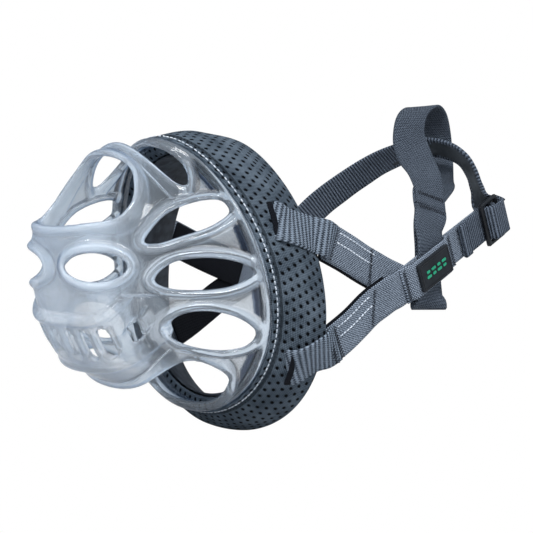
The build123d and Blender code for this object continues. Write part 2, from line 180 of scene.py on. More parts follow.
def join(name, parts):
    """Joins mesh objects into one, under the name given."""
    bpy.ops.object.select_all(action="DESELECT")
    for part in parts:
        part.select_set(True)
    bpy.context.view_layer.objects.active = parts[0]
    bpy.ops.object.join()
    parts[0].name = name
    return parts[0]


def tube(points, radius, sides=5, closed=False):
    """Points and faces of a round tube along a line of points."""
    line = np.array(points, float)
    if closed:
        along = unit(np.roll(line, -1, 0) - np.roll(line, 1, 0))
    else:
        along = unit(np.gradient(line, axis=0))
    # Any direction that no thread runs along.
    aside = np.array([0.31, 0.17, 0.93])
    first = unit(np.cross(along, aside))
    second = np.cross(along, first)
    made = []
    for k in range(len(line)):
        for j in range(sides):
            turn = TURN * j / sides
            made.append(line[k] + radius * (first[k] * cos(turn) + second[k] * sin(turn)))
    faces = []
    last = len(line) if closed else len(line) - 1
    for k in range(last):
        for j in range(sides):
            a, b = k * sides + j, k * sides + (j + 1) % sides
            c, d = (a + sides) % len(made), (b + sides) % len(made)
            faces.append((a, b, d, c))
    if not closed:
        faces.append(tuple(range(sides))[::-1])
        faces.append(tuple(len(made) - sides + j for j in range(sides)))
    return made, faces


def tubes(name, lines, radius, material, closed=False):
    """One object made of several thin tubes, such as stitches or threads."""
    points, faces = [], []
    for line in lines:
        more, around = tube(line, radius, closed=closed)
        faces += [tuple(v + len(points) for v in face) for face in around]
        points += more
    return add_mesh(name, points, faces, material)


def hoop_faces(rings, sides):
    """Faces of a closed hoop made of rings of points."""
    faces = []
    for k in range(rings):
        step = sides if k < rings - 1 else sides - rings * sides
        for j in range(sides):
            a, b = k * sides + j, k * sides + (j + 1) % sides
            faces.append((a, a + step, b + step, b))
    return faces


def prism_faces(sides):
    """Faces of a prism made of two rings of points."""
    faces = [tuple(range(sides))[::-1], tuple(range(sides, 2 * sides))]
    for k in range(sides):
        after = (k + 1) % sides
        faces.append((k, after, after + sides, k + sides))
    return faces


def stand_in(piece, slot, body, *nodes):
    """Hides the CAD nodes that a piece stands for, and gives it its body."""
    if nodes:
        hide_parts(*nodes)
    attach(piece, body)


# ---------- materials ----------

class NodeTree:
    """Short ways to add nodes to a shader tree."""

    def __init__(self, tree):
        self.nodes = tree.nodes
        self.links = tree.links

    def node(self, kind, inputs=(), **settings):
        """Adds a node, sets it up and links or sets its inputs in order."""
        made = self.nodes.new(kind)
        for key, value in settings.items():
            setattr(made, key, value)
        for place, value in inputs:
            if hasattr(value, "is_linked"):
                self.links.new(value, made.inputs[place])
            else:
                made.inputs[place].default_value = value
        return made

    def math(self, operation, first, second=0.0, third=0.0):
        """Result of one arithmetic step."""
        inputs = [(0, first), (1, second), (2, third)]
        return self.node("ShaderNodeMath", inputs, operation=operation).outputs[0]

    def uv(self):
        """The UV map as separate along and across values and as a vector, in millimetres."""
        coords = self.node("ShaderNodeUVMap", uv_map="UVMap")
        split = self.node("ShaderNodeSeparateXYZ", [(0, coords.outputs[0])])
        return split.outputs[0], split.outputs[1], coords.outputs[0]

    def noise(self, scale, detail=3.0, vector=None):
        """Noise value, over object position unless given a vector."""
        if vector is None:
            vector = self.node("ShaderNodeTexCoord").outputs["Object"]
        inputs = [("Vector", vector), ("Scale", scale), ("Detail", detail)]
        return self.node("ShaderNodeTexNoise", inputs).outputs[0]

    def ramp(self, value, low, high, start=0.0, end=1.0):
        """Value moved smoothly from one range to another."""
        inputs = [(0, value), (1, low), (2, high), (3, start), (4, end)]
        return self.node("ShaderNodeMapRange", inputs, interpolation_type="SMOOTHSTEP").outputs[0]

    def mix(self, share, first, second):
        """Colour between two colours, each an output or three numbers."""
        pair = [colour if hasattr(colour, "is_linked") else (*colour, 1) for colour in (first, second)]
        inputs = [(0, share), (6, pair[0]), (7, pair[1])]
        return self.node("ShaderNodeMix", inputs, data_type="RGBA").outputs[2]


class Shader(NodeTree):
    """A material with a Principled shader, its values given with _ for each space."""

    def __init__(self, name, **values):
        self.material = bpy.data.materials.new(name)
        self.material.use_nodes = True
        super().__init__(self.material.node_tree)
        self.base = self.nodes["Principled BSDF"]
        for key, value in values.items():
            self.base.inputs[key.replace("_", " ")].default_value = value

    def colour(self, value):
        """Uses a socket as the base colour."""
        self.links.new(value, self.base.inputs["Base Color"])

    def bump(self, height, distance, strength=1.0):
        """Uses a socket as the surface's height, in metres at full height."""
        inputs = [("Height", height), ("Distance", distance), ("Strength", strength)]
        made = self.node("ShaderNodeBump", inputs)
        self.links.new(made.outputs[0], self.base.inputs["Normal"])


def webbing_material(name, dark, light, rib_pitch, cross_pitch=1.1, stagger=0.05):
    """Woven webbing: ribs across the strap, staggered by warp yarns; pitches in millimetres."""
    s = Shader(name, Roughness=0.8, Specular_IOR_Level=0.12)
    along, across, vector = s.uv()
    yarn = s.math("SINE", s.math("MULTIPLY", across, TURN / cross_pitch))
    shift = s.math("MULTIPLY", s.math("SIGN", yarn), stagger * rib_pitch)
    rib = s.math("SINE", s.math("MULTIPLY", s.math("ADD", along, shift), TURN / rib_pitch))
    warp = s.math("MULTIPLY", s.math("ABSOLUTE", yarn), 0.3)
    height = s.math("ADD", warp, s.math("MULTIPLY", rib, 0.55))
    grain = s.noise(1.1, 4.0, vector)
    lift = s.math("ADD", height, s.math("MULTIPLY", grain, 1.6))
    share = s.ramp(lift, 0.3, 1.65)
    worn = s.ramp(s.noise(45.0), 0.35, 0.75, 0.0, 0.2)
    s.colour(s.mix(worn, s.mix(share, dark, light), light))
    s.bump(s.math("ADD", height, s.math("MULTIPLY", grain, 0.5)), 0.0006)
    return s.material


def mesh_material():
    """Padded air mesh: fine knit with staggered rows of small holes, painted near black as the shade inside
    them.
    """
    s = Shader("cuff_mesh", Roughness=0.9, Specular_IOR_Level=0.08)
    around, back, _ = s.uv()
    pitch_u, pitch_v = 4.9, 3.75
    row = s.math("FLOOR", s.math("DIVIDE", back, pitch_v))
    odd = s.math("MULTIPLY", s.math("MODULO", s.math("ABSOLUTE", row), 2.0), 0.5)
    u = s.math("FRACT", s.math("ADD", s.math("DIVIDE", around, pitch_u), odd))
    v = s.math("FRACT", s.math("DIVIDE", back, pitch_v))
    du = s.math("MULTIPLY", s.math("SUBTRACT", u, 0.5), pitch_u)
    dv = s.math("MULTIPLY", s.math("SUBTRACT", v, 0.5), pitch_v)
    reach = s.math("SQRT", s.math("ADD", s.math("MULTIPLY", du, du), s.math("MULTIPLY", dv, dv)))
    hole_shade = s.ramp(reach, 0.7, 1.1, 1.0, 0.0)
    knit_u = s.math("SINE", s.math("MULTIPLY", s.math("ADD", around, back), 3.3))
    knit_v = s.math("SINE", s.math("MULTIPLY", s.math("SUBTRACT", around, back), 3.9))
    knit = s.math("MULTIPLY", knit_u, knit_v)
    tone = s.ramp(s.math("ADD", s.math("MULTIPLY", knit, 0.35), s.noise(90.0)), 0.1, 0.95)
    cloth = s.mix(tone, (0.024, 0.034, 0.047), (0.115, 0.145, 0.18))
    # Painted shade: the holes are coloured near black for the shade inside them.
    s.colour(s.mix(hole_shade, cloth, (0.001, 0.0015, 0.0025)))
    hollow = s.ramp(reach, 0.6, 1.6)
    s.bump(s.math("ADD", hollow, s.math("MULTIPLY", knit, 0.12)), 0.0007)
    return s.material


def clear_material():
    """Clear bluish moulded plastic: thick beads and thin clear webs, with painted shade in the recesses by
    the rim and at grazing edges.
    """
    s = Shader("clear_cage", IOR=1.38, Coat_Weight=0.5, Coat_Roughness=0.08)
    place = s.node("ShaderNodeTexCoord").outputs["Object"]
    back = s.node("ShaderNodeSeparateXYZ", [(0, place)]).outputs[1]
    bead = s.node("ShaderNodeAttribute", attribute_name="bead").outputs["Fac"]
    recess_shade = s.node("ShaderNodeAttribute", attribute_name="recess_shade").outputs["Fac"]
    milky = s.math("ADD", s.ramp(back, -0.075, -0.02, 0.24, 0.04), s.math("MULTIPLY", bead, 0.08))
    s.links.new(s.math("SUBTRACT", 1.0, milky), s.base.inputs["Transmission Weight"])
    # Painted shade: at grazing angles the plastic turns deep blue and less clear, standing in for its dark
    # refracted edges; the pale blue is its own tint.
    facing = s.node("ShaderNodeLayerWeight", [("Blend", 0.4)]).outputs["Facing"]
    edge = s.ramp(s.math("ADD", facing, s.math("MULTIPLY", s.noise(30.0), 0.2)), 0.25, 1.0)
    tint_and_edge_shade = s.mix(edge, (0.80, 0.88, 0.97), (0.12, 0.21, 0.37))
    # Painted shade: the recesses by the rim turn dark navy and nearly opaque.
    s.colour(s.mix(recess_shade, tint_and_edge_shade, (0.03, 0.05, 0.10)))
    solid = s.math("MAXIMUM", s.ramp(edge, 0.0, 0.7, 0.62, 1.0), s.math("MAXIMUM", recess_shade, bead))
    s.links.new(solid, s.base.inputs["Alpha"])
    s.links.new(s.ramp(s.noise(40.0), 0.3, 0.7, 0.10, 0.2), s.base.inputs["Roughness"])
    s.bump(s.noise(90.0, 2.0), 0.0005, 0.5)
    return s.material


def plain_material(name, dark, light, rough, bump, scale=300.0, **values):
    """Moulded or dyed surface with faint mottling and grain."""
    s = Shader(name, Roughness=rough, **values)
    s.colour(s.mix(s.ramp(s.noise(scale / 4), 0.3, 0.7), dark, light))
    s.bump(s.noise(scale, 2.0), bump)
    return s.material


CLEAR = clear_material()
MESH = mesh_material()
WEBBING = webbing_material("webbing", (0.01, 0.014, 0.022), (0.145, 0.175, 0.225), 1.75)
RIBBED = webbing_material("webbing_ribbed", (0.008, 0.012, 0.02), (0.24, 0.29, 0.36), 2.6, 1.2, 0.12)
TWEED = webbing_material("webbing_arm", (0.012, 0.017, 0.028), (0.34, 0.40, 0.49), 1.5, 1.5, 0.25)
COLLAR = webbing_material("collar_webbing", (0.01, 0.014, 0.022), (0.12, 0.145, 0.185), 1.6, 1.1, 0.2)
# Near-black webbing: the real backing under the arms, and painted shade in the tab slits.
BACKING_AND_SLIT_SHADE = webbing_material("arm_backing", (0.002, 0.002, 0.004), (0.012, 0.014, 0.02), 1.3, 1.1, 0.2)
LINING = plain_material("cuff_lining", (0.018, 0.022, 0.03), (0.04, 0.048, 0.062), 0.85, 0.0004, 900.0)
THREAD = plain_material("thread", (0.01, 0.013, 0.02), (0.035, 0.043, 0.06), 0.8, 0.0001)
LIGHT_THREAD = plain_material("light_thread", (0.40, 0.45, 0.52), (0.68, 0.73, 0.80), 0.8, 0.0001)
BLACK = plain_material("slider_plastic", (0.003, 0.0035, 0.005), (0.007, 0.008, 0.011), 0.4, 0.00008,
                       Specular_IOR_Level=0.3)
RUBBER = plain_material("label_rubber", (0.01, 0.012, 0.015), (0.018, 0.021, 0.026), 0.75, 0.00015,
                        Specular_IOR_Level=0.2)
GREEN = plain_material("label_motif", (0.004, 0.25, 0.13), (0.008, 0.34, 0.18), 0.6, 0.0001)
# Darker, flatter-toned face with a slight gloss: painted shade on the far strap's inner face.
SMOOTH = plain_material("strap_inner_face_shaded", (0.022, 0.027, 0.033), (0.07, 0.08, 0.092), 0.8, 0.0001,
                        Specular_IOR_Level=0.2)


# ---------- cage: the melted body, cut by openings with beaded edges ----------

# The body is a polyhedron melted round: each face has a yaw and a pitch, in degrees, and a
# distance from the body's centre. Side faces come in pairs, middle faces stand alone.
BODY_CENTRE = np.array([0.0, -25.0, -4.0])
ROUNDNESS = 8
SIDE_FACES = [(71, 0, 41), (77, 38, 55.5), (74.5, -39, 49)]
MIDDLE_FACES = [(180, 84, 72.5), (0, 34, 58), (0, -14, 45), (0, -47.5, 50.5), (0, -75, 50.5)]
RIM_HALF_WIDTH, RIM_HALF_HEIGHT = 54.4, 66.2
RIM_EGG, RIM_LEAN, RIM_BOW = -0.08, 0.2035, 8.7
BROW_PITCH, CHIN_PITCH = 34, -47.5
WALL = 3.0
MIDDLE_OF_WALL = -WALL / 2
WEB_HOLLOW = 0.9
BEAD_RADIUS, BEAD_IN, BEAD_SINK = 2.05, 1.9, 1.2
GRILLE_MIDDLE = 25
GRILLE_HALF_WIDTH, GRILLE_HALF_HEIGHT = 36, 13
VOXEL = 0.7

# Side openings as (y, z).
UPPER_OPENING = [
    (-48, 19), (-37, 30.5), (-21, 36.5), (-7, 37.5), (-3.5, 32), (-15, 25), (-30, 20.5), (-41, 17.5)]
MIDDLE_OPENING = [
    (-44, 2), (-35, 9.5), (-18, 11.3), (-2, 8.5), (4, 2.8), (-8, -2.8), (-25, -4), (-38, -2.5)]
LOWER_OPENING = [
    (-38.5, -21), (-32, -14.5), (-19, -13), (-4, -16.5), (7, -24), (4, -31), (-10, -32.5), (-28, -28.5)]
# Left halves of the middle openings: (x, y), but for the nose (x, up the brow's slope).
TOP_OPENING = [(0, -36), (17, -34.5), (30, -28), (32.5, -21), (23, -15.5), (0, -19)]
NOSE_OPENING = [(0, -19), (16, -17.5), (26, -12), (29, -2), (26, 9.5), (17, 20), (0, 23)]
JAW_OPENING = [(0, -36), (24, -35.5), (35, -27), (38, -12), (35, 3), (22, 8), (0, 8.5)]


def face_normal(yaw, pitch, side=1):
    """Unit normal of a body face."""
    turn, rise = radians(yaw), radians(pitch)
    flat = cos(rise)
    return np.array([side * flat * sin(turn), -flat * cos(turn), sin(rise)])


def body_distance(p):
    """Signed distance from the cage's outer surface, and the outward normal."""
    offset = p - BODY_CENTRE
    total = np.zeros(len(p))
    slope = np.zeros_like(p)
    faces = [(face_normal(y, t, s), h) for y, t, h in SIDE_FACES for s in (1, -1)]
    faces += [(face_normal(y, t), h) for y, t, h in MIDDLE_FACES]
    for normal, reach in faces:
        share = np.maximum(0, offset @ normal) / reach
        power = share ** (ROUNDNESS - 1)
        total += power * share
        slope += (power / reach)[:, None] * normal
    total = np.maximum(total, 1e-12)
    fill = total ** (1 / ROUNDNESS)
    slope *= (fill / total)[:, None]
    steep = np.maximum(np.linalg.norm(slope, axis=1), 1e-6)
    return (fill - 1) / steep, slope / steep[:, None]


def both_halves(points):
    """Closes the left half of an outline by mirroring it."""
    return points + [(-x, y) for x, y in reversed(points[1:-1])]


ROUND_POINTS = 32


def rounded_rectangle(width, height, radius, x=0.0, y=0.0):
    """Outline of a rounded rectangle round (x, y)."""
    points = []
    for k in range(ROUND_POINTS):
        turn = TURN * k / ROUND_POINTS
        c, s = cos(turn), sin(turn)
        points.append((x + (width / 2 - radius) * np.sign(round(c, 6)) + radius * c,
                       y + (height / 2 - radius) * np.sign(round(s, 6)) + radius * s))
    return points


OUTLINE_POINTS = 160
TABLE_STEP = 0.5
FAR = 14.0


def outline_field(points, smooth=True):
    """Signed distance to a closed outline, as a table that reaches FAR beyond it."""
    line = spline(points, OUTLINE_POINTS, closed=True) if smooth else np.array(points, float)
    low = line.min(0) - FAR
    counts = ((line.max(0) + FAR - low) / TABLE_STEP).astype(int) + 2
    rows, columns = (np.arange(counts[k]) * TABLE_STEP + low[k] for k in range(2))
    gx, gy = np.meshgrid(rows, columns, indexing="ij")
    grid = np.stack([gx.ravel(), gy.ravel()], 1)
    best = np.full(len(grid), 1e9)
    inside = np.zeros(len(grid), bool)
    for a, b in zip(line, np.roll(line, -1, 0)):
        edge = b - a
        share = np.clip(((grid - a) @ edge) / max(edge @ edge, 1e-12), 0, 1)
        best = np.minimum(best, np.sum((grid - a - share[:, None] * edge) ** 2, 1))
        crosses = (a[1] > grid[:, 1]) != (b[1] > grid[:, 1])
        if abs(edge[1]) > 1e-12:
            inside ^= crosses & (grid[:, 0] < a[0] + (grid[:, 1] - a[1]) * edge[0] / edge[1])
    table = np.where(inside, -1, 1) * np.sqrt(best)
    return low, table.reshape(counts)


def look_up(field, q):
    """Distance at points q from an outline's table, and its slope, not to scale."""
    low, table = field
    at = (q - low) / TABLE_STEP
    last = np.array(table.shape) - 3
    far = np.any((at < 1) | (at > last), axis=1)
    at = np.clip(at, 1, last)
    cell = at.astype(int)
    part = at - cell
    i, j = cell[:, 0], cell[:, 1]
    u, v = part[:, 0], part[:, 1]
    t00, t10, t01, t11 = table[i, j], table[i + 1, j], table[i, j + 1], table[i + 1, j + 1]
    value = t00 * (1 - u) * (1 - v) + t10 * u * (1 - v) + t01 * (1 - u) * v + t11 * u * v
    slope_x = t10 - table[i - 1, j]
    slope_y = t01 - table[i, j - 1]
    return np.where(far, FAR, value), slope_x, slope_y


def opening_distance(p, normal, field, x_axis, y_axis, where):
    """Distance along the surface to one opening's edge, negative inside it."""
    value, slope_x, slope_y = look_up(field, np.stack([p @ x_axis, p @ y_axis], 1))
    heading = unit(slope_x[:, None] * x_axis + slope_y[:, None] * y_axis)
    lean = np.clip(1 - np.sum(heading * normal, 1) ** 2, 0.2, 1)
    return np.where(where, value / np.sqrt(lean), FAR)


def slope_axis(pitch):
    """Direction along the slope of a middle face, square to X."""
    return np.cross(face_normal(0, pitch), [1, 0, 0])


def rim_y(z):
    """How far back the rim lies at height z."""
    return -z * RIM_LEAN + RIM_BOW * (1 - (z / RIM_HALF_HEIGHT) ** 2)


def rim_point(turn, grow=0.0, back=0.0):
    """Point on the rim curve, moved out and back."""
    z = (RIM_HALF_HEIGHT + grow) * cos(turn)
    x = (RIM_HALF_WIDTH + grow) * sin(turn) * (1 + RIM_EGG * cos(turn))
    return np.array([x, rim_y(z) + back, z])


def smooth_min(a, b, k):
    """Union of two distances with a small fillet."""
    h = np.maximum(k - np.abs(a - b), 0) / k
    return np.minimum(a, b) - h * h * k / 4


X, Y, Z = np.eye(3)
BROW, CHIN = slope_axis(BROW_PITCH), slope_axis(CHIN_PITCH)
CORNER, CORNER_ACROSS = np.array([1, -1, 0]) / sqrt(2), np.array([1, 1, 0]) / sqrt(2)
# The front oval lies on the body's corner, as (across the corner, z).
OVAL_TURNS = np.linspace(0, TURN, 25)[:-1]
FRONT_OVAL = [(14.7 * cos(t) - 31.5, 7 * sin(t) + 7.5) for t in OVAL_TURNS]
SIDE_FIELDS = [outline_field(outline) for outline in (UPPER_OPENING, MIDDLE_OPENING, LOWER_OPENING)]
HALVES = (TOP_OPENING, JAW_OPENING, NOSE_OPENING)
TOP_FIELD, JAW_FIELD, NOSE_FIELD = (outline_field(both_halves(half)) for half in HALVES)
OVAL_FIELD = outline_field(FRONT_OVAL)
# Chin slots as (width, height, corner radius, x, place up the chin's slope).
CHIN_SLOTS = [(6.6, 15, 3, 0, 26), (6.6, 15, 3, 11, 26), (6.6, 15, 3, 22, 26), (4.5, 9, 2, 31, 23)]
SLOT_FIELDS = [outline_field(rounded_rectangle(*slot), smooth=False) for slot in CHIN_SLOTS]


def opening_edges(p, normal):
    """Distances to the nearest large opening and to the nearest chin slot.

    Each outline only counts on its own side of the body.
    """
    x, y, z = p.T
    cuts = [opening_distance(p, normal, field, Y, Z, x > 18) for field in SIDE_FIELDS]
    cuts.append(opening_distance(p, normal, TOP_FIELD, X, Y, z > 30))
    cuts.append(opening_distance(p, normal, JAW_FIELD, X, Y, z < -30))
    cuts.append(opening_distance(p, normal, NOSE_FIELD, X, BROW, (y < -38) & (z > 10)))
    cuts.append(opening_distance(p, normal, OVAL_FIELD, CORNER_ACROSS, Z, p @ CORNER > 20))
    chin = (y < -36) & (z < -8)
    slots = [opening_distance(p, normal, field, X, CHIN, chin) for field in SLOT_FIELDS]
    return np.min(cuts, axis=0), np.min(slots, axis=0)


def chin_grille(p, shell, edge):
    """Distance from the full-thickness chin panel and its soft raised border."""
    x, y, z = p.T
    slope = np.abs(p @ CHIN - GRILLE_MIDDLE) - GRILLE_HALF_HEIGHT
    panel = np.maximum(np.abs(x) - GRILLE_HALF_WIDTH, slope)
    panel = np.where((y < -30) & (z < -5), panel, FAR)
    plate = np.maximum(np.maximum(np.abs(shell + 1.3) - 1.5, panel), -edge)
    border = np.sqrt(panel ** 2 + shell ** 2) - 1.9
    return smooth_min(plate, border, 1.5)


def rim_band(x, z, behind):
    """Distance from the flat flange round the back and the bead on its front edge."""
    turn = np.arctan2(x / RIM_HALF_WIDTH, z / RIM_HALF_HEIGHT)
    rim_x = RIM_HALF_WIDTH * np.sin(turn) * (1 + RIM_EGG * np.cos(turn))
    radial = (np.hypot(x, z) - np.hypot(rim_x, RIM_HALF_HEIGHT * np.cos(turn))) * 0.97
    band = np.maximum(np.abs(radial + 1.25) - 1.25, np.abs(behind - 1.0) - 4.0)
    bead = np.sqrt((radial + 1.2) ** 2 + (behind + 1.6) ** 2) - 2.2
    return smooth_min(band, bead, 1.0)


def cage_distance(p):
    """Signed distance of the cage's left half at points p."""
    shell, normal = body_distance(p)
    edge, slots = opening_edges(p, normal)
    behind = p[:, 1] - rim_y(p[:, 2])
    web = np.maximum(np.abs(shell + WALL / 2 + 0.1) - (WALL / 2 - WEB_HOLLOW + 0.1), -edge)
    bead = np.sqrt((edge - BEAD_IN) ** 2 + (shell + BEAD_SINK) ** 2) - BEAD_RADIUS
    solid = smooth_min(web, bead, 1.6)
    solid = smooth_min(solid, chin_grille(p, shell, edge), 1.2)
    solid = np.maximum(solid, -slots)
    solid = np.maximum(solid, behind + 1)
    return smooth_min(solid, rim_band(p[:, 0], p[:, 2], behind), 1.5)


def mark_cage(cage, p):
    """Marks thick beads, and the recesses by the rim where shade is painted, for the plastic's look."""
    _, normal = body_distance(p)
    edge, _ = opening_edges(p, normal)
    behind = p[:, 1] - rim_y(p[:, 2])
    bead = np.clip((4.6 - edge) / 1.5, 0, 1) + np.clip((behind + 3.6) / 1.0, 0, 1)
    # Painted shade: a band just in front of the rim, away from the beads, where the plastic is darkened.
    in_row = np.clip((1.9 - np.abs(behind + 5.6)) / 0.5, 0, 1)
    off_bead = np.clip((edge - 4.4) / 0.8, 0, 1)
    for name, values in (("bead", np.clip(bead, 0, 1)), ("recess_shade", np.minimum(in_row, off_bead))):
        layer = cage.data.attributes.new(name, "FLOAT", "POINT")
        layer.data.foreach_set("value", values.astype(np.float32))


CAGE_LOW, CAGE_HIGH = np.array([0.0, -79.0, -72.0]), np.array([60.0, 26.0, 74.0])
NEAR_WALL, NEAR_RIM = 5.0, 8.0
OUTSIDE = 3.0


def make_cage():
    """Polygonises the cage's distance field; the right half mirrors the left."""
    counts = ((CAGE_HIGH - CAGE_LOW) / VOXEL).astype(int)
    xs, ys, zs = (CAGE_LOW[k] + VOXEL * np.arange(counts[k]) for k in range(3))
    half = np.full(counts, OUTSIDE, np.float32)
    gy, gz = np.meshgrid(ys, zs, indexing="ij")
    for k in range(counts[0]):
        p = np.stack([np.full(gy.size, xs[k]), gy.ravel(), gz.ravel()], 1)
        shell, _ = body_distance(p)
        near_wall = np.abs(shell - MIDDLE_OF_WALL) < NEAR_WALL
        near = near_wall | (np.abs(p[:, 1] - rim_y(p[:, 2])) < NEAR_RIM)
        row = np.full(len(p), OUTSIDE)
        row[near] = cage_distance(p[near])
        half[k] = row.reshape(gy.shape)
    field = np.concatenate([half[:0:-1], half])
    grid = openvdb.FloatGrid(background=OUTSIDE)
    grid.copyFromArray(np.clip(field, -OUTSIDE, OUTSIDE))
    points, quads = grid.convertToQuads(isovalue=0.0)
    corner = CAGE_LOW - np.array([VOXEL * (counts[0] - 1), 0, 0])
    points = np.array(points) * VOXEL + corner
    cage = add_mesh("cage", points, [tuple(int(v) for v in q)[::-1] for q in quads], CLEAR)
    mark_cage(cage, np.column_stack([np.abs(points[:, 0]), points[:, 1:]]))
    smooth = cage.modifiers.new("soften", "SMOOTH")
    smooth.factor = 0.5
    smooth.iterations = 4
    return cage


stand_in(make_cage(), "clear_cage", "muzzle", "basket")


# ---------- cuff: puffy mesh ring with binding and lining ----------

# Half width, half height, centre height and egg shape at the front, middle and rear.
CUFF_RINGS = [(56.9, 68.7, 0.0, -0.08), (61.1, 72.6, -2.7, -0.11), (61.9, 74.3, -5.4, -0.14)]
CUFF_AROUND = 220
CUFF_GAP = 4.6
REAR_Y, REAR_Z = 35.1, -5.4
REAR_LEAN, REAR_BOW, REAR_HALF_HEIGHT = 0.065, 5.6, 74.0
CUFF_FRONT, CUFF_REAR = 0.035, 0.96


def cuff_rear_y(z):
    """How far back the cuff's rear edge lies at height z."""
    rise = z - REAR_Z
    bow = REAR_BOW * (1 - (rise / REAR_HALF_HEIGHT) ** 2)
    return REAR_Y - rise * REAR_LEAN + bow


def cuff_point(turn, depth, grow):
    """Point on the cuff at a share of its depth, front to rear, moved out by grow."""
    place = depth * 2
    k = min(1, int(place))
    rings = zip(CUFF_RINGS[k], CUFF_RINGS[k + 1])
    half_width, half_height, centre, egg = (a + (b - a) * (place - k) for a, b in rings)
    z = centre + (half_height + grow) * cos(turn)
    x = (half_width + grow) * sin(turn) * (1 + egg * cos(turn))
    front = rim_y(z * 0.95) + CUFF_GAP
    y = front + (cuff_rear_y(z) - front) * depth
    return np.array([x, y, z])


def puff(depth):
    """Swell of the cuff's outer face at a share of its depth."""
    return 1.7 * sin(pi * depth) ** 0.7


def cuff_profile():
    """Cross-section of the cuff as (depth share, grow) pairs with rounded edges."""
    points = [(d, puff(d)) for d in np.linspace(CUFF_FRONT, CUFF_REAR, 26)]
    for t in np.linspace(0.15, 0.85, 7):
        turn = pi * t
        points.append((CUFF_REAR + 0.05 * sin(turn), -4.1 + 4.4 * cos(turn)))
    for d in np.linspace(CUFF_REAR, CUFF_FRONT, 20):
        points.append((d, -8.2 - 0.7 * sin(pi * d)))
    for t in np.linspace(0.2, 0.8, 4):
        turn = pi * t
        points.append((CUFF_FRONT - 0.035 * sin(turn), -4.1 - 4.1 * cos(turn)))
    return points


def cuff_lengths(turns):
    """Length round the middle of the cuff up to each turn, for an even mesh pattern."""
    small = 0.01
    speeds = []
    for turn in turns:
        step = cuff_point(turn + small, 0.5, 0) - cuff_point(turn, 0.5, 0)
        speeds.append(np.linalg.norm(step) / small)
    return np.concatenate([[0], np.cumsum(speeds)]) * (TURN / len(turns))


def make_cuff():
    """The padded mesh ring, slightly wrinkled."""
    profile = cuff_profile()
    points, uvs = [], []
    turns = np.linspace(0, TURN, CUFF_AROUND, endpoint=False)
    around = cuff_lengths(turns)
    for k, turn in enumerate(turns):
        reach = 0.0
        last = None
        for depth, grow in profile:
            wrinkle = 0.35 * sin(9 * turn + 5 * depth) * sin(pi * min(1, depth))
            place = cuff_point(turn, depth, grow + wrinkle)
            if last is not None:
                reach += np.linalg.norm(place - last)
            last = place
            points.append(place)
            uvs.append((around[k], reach))
    return add_mesh("cuff", points, hoop_faces(CUFF_AROUND, len(profile)), MESH, uvs=uvs)


RIM_TURNS = np.linspace(0, TURN, 181)
BINDING_WIDTH = 6.5
LINING_AROUND = 120
LINING_SECTION = [(0.06, -9.4), (0.5, -10.0), (0.94, -9.4), (0.94, -10.4), (0.5, -11.0), (0.06, -10.4)]


def make_binding():
    """Tape lying flat round the rim, its width running front to back."""
    path = [rim_point(turn, 1.0, 3.6) for turn in RIM_TURNS]
    return strap("rim_binding", path, [tuple(Y)] * len(path), MESH, width=BINDING_WIDTH, step=2.0, wave=0.0)


def make_lining():
    """Thin dark lining inside the cuff."""
    points, uvs = [], []
    for turn in np.linspace(0, TURN, LINING_AROUND, endpoint=False):
        for depth, grow in LINING_SECTION:
            points.append(cuff_point(turn, depth, grow))
            uvs.append((turn * 60, depth * 40))
    faces = hoop_faces(LINING_AROUND, len(LINING_SECTION))
    return add_mesh("cuff_lining", points, faces, LINING, uvs=uvs)


stand_in(make_cuff(), "mesh_pad", "muzzle", "pad_cuff")
stand_in(make_binding(), "soft_lip", "muzzle", "rim_lip")
stand_in(make_lining(), "pad_lining", "muzzle", "pad_lining")


# ---------- harness webbing ----------

SIDES = (("left", 1), ("right", -1))
SIDE_CENTRE, SIDE_HALF_HEIGHT = -3.5, 72.5


def on_side(points, sign):
    """The left side's points as they are (1), or mirrored to the right side (-1)."""
    return [(sign * x, y, z) for x, y, z in points]


def on_cuff(y, z, stand):
    """Point beside the cuff's outer face at (y, z), stood off it."""
    turn = acos((z - SIDE_CENTRE) / SIDE_HALF_HEIGHT)
    front = rim_y(z) + CUFF_GAP
    depth = min(1.0, max(0.0, (y - front) / (cuff_rear_y(z) - front)))
    place = cuff_point(turn, depth, puff(depth) + stand)
    return (place[0], y, z)


# Each path has a list of the same length with the directions of the webbing's width.
UPPER_WIDE, LOWER_WIDE = (0, 0.37, 0.93), (0, -0.42, 0.91)
UPPER_TAB = [
    on_cuff(14.5, 28, -2.0), on_cuff(17.5, 27, 0.9), on_cuff(23, 25, 1.2), on_cuff(30, 23, 1.2),
    on_cuff(37, 21, 1.3), (60.5, 43, 19.2), (57.9, 50, 16.6),
]
UPPER_TAB_ACROSS = [
    (-0.45, 0, 0.9), (-0.45, 0, 0.9), (-0.42, 0.1, 0.9), (-0.38, 0.2, 0.9),
    (-0.3, 0.25, 0.9), (-0.15, 0.32, 0.93), (0, 0.35, 0.93),
]
LOWER_TAB = [
    on_cuff(24.5, -42.5, -2.0), on_cuff(27.5, -41.3, 0.9), on_cuff(32, -39.2, 1.2),
    on_cuff(37, -37, 1.2), (61.5, 43, -35), (59.0, 52, -31.8),
]
LOWER_TAB_ACROSS = [
    (0.48, -0.1, 0.88), (0.48, -0.1, 0.88), (0.45, -0.2, 0.9),
    (0.4, -0.3, 0.9), (0.2, -0.37, 0.9), (0, -0.4, 0.91),
]
UPPER_ARM = [
    (56.9, 46, 18.2), (57.0, 60, 12.5), (55.9, 72, 7.5),
    (54.9, 83, 3.2), (54.8, 95, -1.4), (55.0, 107, -5.6),
]
UPPER_ARM_ACROSS = [UPPER_WIDE] * len(UPPER_ARM)
LOWER_ARM = [(57.9, 48, -34), (57.8, 64, -26), (57.2, 79, -17.2), (57.0, 94, -10.6)]
LOWER_ARM_ACROSS = [LOWER_WIDE] * len(LOWER_ARM)

